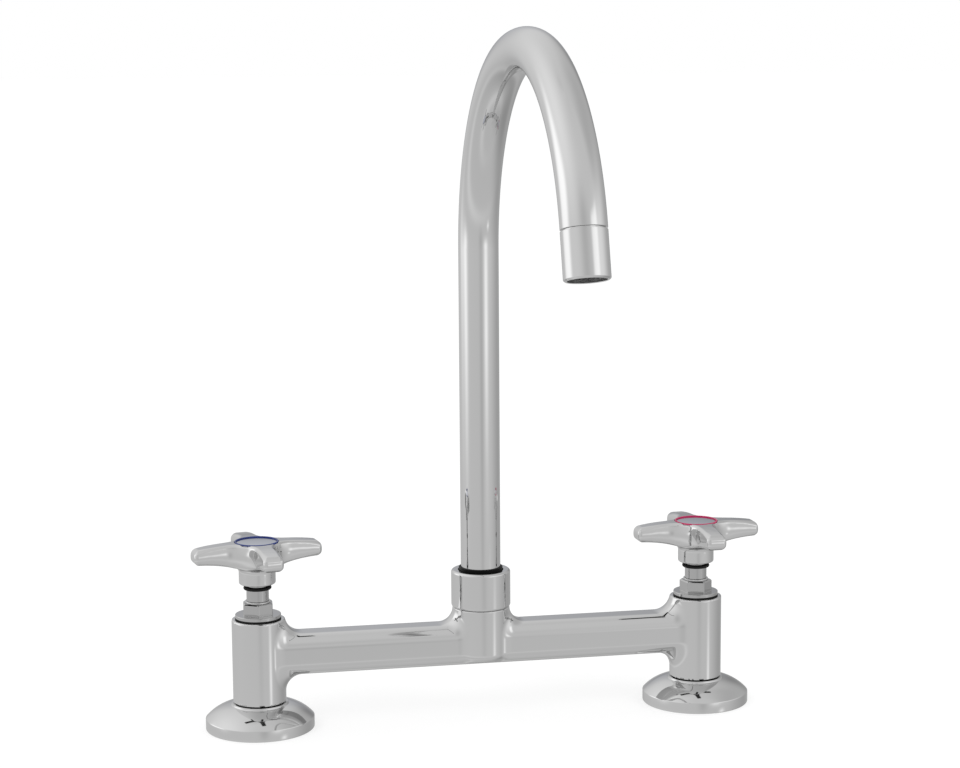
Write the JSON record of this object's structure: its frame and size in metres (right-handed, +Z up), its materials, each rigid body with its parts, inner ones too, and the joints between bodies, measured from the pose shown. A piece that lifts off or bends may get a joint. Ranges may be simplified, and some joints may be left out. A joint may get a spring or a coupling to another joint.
{
  "type": "bridge kitchen faucet",
  "caption": "Deck-mounted bridge faucet: cross-handled valves on round flanges, joined by a bar that carries a swivelling gooseneck spout",
  "frame": {"origin": "on the deck plane, midway between the two inlets", "axes": "+Z up, +X along the bridge towards the hot side, -Y towards the person at the sink"},
  "size_m": [0.2618, 0.2145, 0.31],
  "materials": {
    "chrome_plate": "bright chrome plate on brass, mirror smooth with a faint waviness on the casting",
    "plain_brass": "machined brass, unplated, fine turning marks",
    "stainless_steel": "satin stainless steel",
    "black_rubber": "matt black rubber",
    "black_nylon": "smooth black nylon",
    "white_acetal": "satin off-white acetal",
    "index_silver": "bright plated button, plain, no lettering",
    "index_blue": "glossy dark blue band for cold",
    "index_red": "glossy red band for hot"
  },
  "bodies": {
    "bridge": {"bridge_body": "chrome_plate", "base_flange_cold": "chrome_plate", "base_gasket_cold": "black_rubber", "foot_washer_cold": "black_rubber", "valve_seat_cold": "plain_brass", "headwork_gasket_cold": "black_rubber", "headwork_cold": "chrome_plate", "base_flange_hot": "chrome_plate", "base_gasket_hot": "black_rubber", "foot_washer_hot": "black_rubber", "valve_seat_hot": "plain_brass", "headwork_gasket_hot": "black_rubber", "headwork_hot": "chrome_plate", "spout_nut": "chrome_plate", "spout_bush": "black_nylon"},
    "spout": {"spout_tube": "chrome_plate", "spout_ferrule": "plain_brass", "spout_seal_lower": "black_rubber", "spout_seal_upper": "black_rubber", "outlet_housing": "chrome_plate", "outlet_washer": "black_rubber", "outlet_spacer": "white_acetal", "outlet_screen": "stainless_steel", "outlet_straightener": "black_nylon"},
    "cold_valve": {"stem_cold": "plain_brass", "stem_seal_cold": "black_rubber", "stem_clip_cold": "stainless_steel", "dust_ring_cold": "black_rubber", "handle_cold": "chrome_plate", "handle_screw_cold": "stainless_steel", "index_ring_cold": "index_blue", "index_disc_cold": "index_silver"},
    "cold_jumper": {"jumper_cold": "plain_brass", "jumper_washer_cold": "black_rubber", "jumper_nut_cold": "plain_brass"},
    "hot_valve": {"stem_hot": "plain_brass", "stem_seal_hot": "black_rubber", "stem_clip_hot": "stainless_steel", "dust_ring_hot": "black_rubber", "handle_hot": "chrome_plate", "handle_screw_hot": "stainless_steel", "index_ring_hot": "index_red", "index_disc_hot": "index_silver"},
    "hot_jumper": {"jumper_hot": "plain_brass", "jumper_washer_hot": "black_rubber", "jumper_nut_hot": "plain_brass"}
  },
  "joints": [
    {"name": "spout_swivel", "type": "hinge", "parent": "bridge", "child": "spout", "pos_m": [0, 0, 0.0524], "axis": [0, 0, 1], "continuous": true},
    {"name": "cold_handle_turn", "type": "hinge", "parent": "bridge", "child": "cold_valve", "pos_m": [-0.1015, 0, 0.0575], "axis": [0, 0, 1], "range_deg": [0, 540]},
    {"name": "cold_jumper_lift", "type": "slide", "parent": "bridge", "child": "cold_jumper", "axis": [0, 0, 1], "range_m": [0, 0.0031]},
    {"name": "hot_handle_turn", "type": "hinge", "parent": "bridge", "child": "hot_valve", "pos_m": [0.1015, 0, 0.0575], "axis": [0, 0, 1], "range_deg": [0, 540]},
    {"name": "hot_jumper_lift", "type": "slide", "parent": "bridge", "child": "hot_jumper", "axis": [0, 0, 1], "range_m": [0, 0.0031]}
  ],
  "couplings": [
    {"joint": "cold_jumper_lift", "follows": "cold_handle_turn", "m_per_rad": 0.00031831},
    {"joint": "hot_jumper_lift", "follows": "hot_handle_turn", "m_per_rad": 0.00031831}
  ]
}
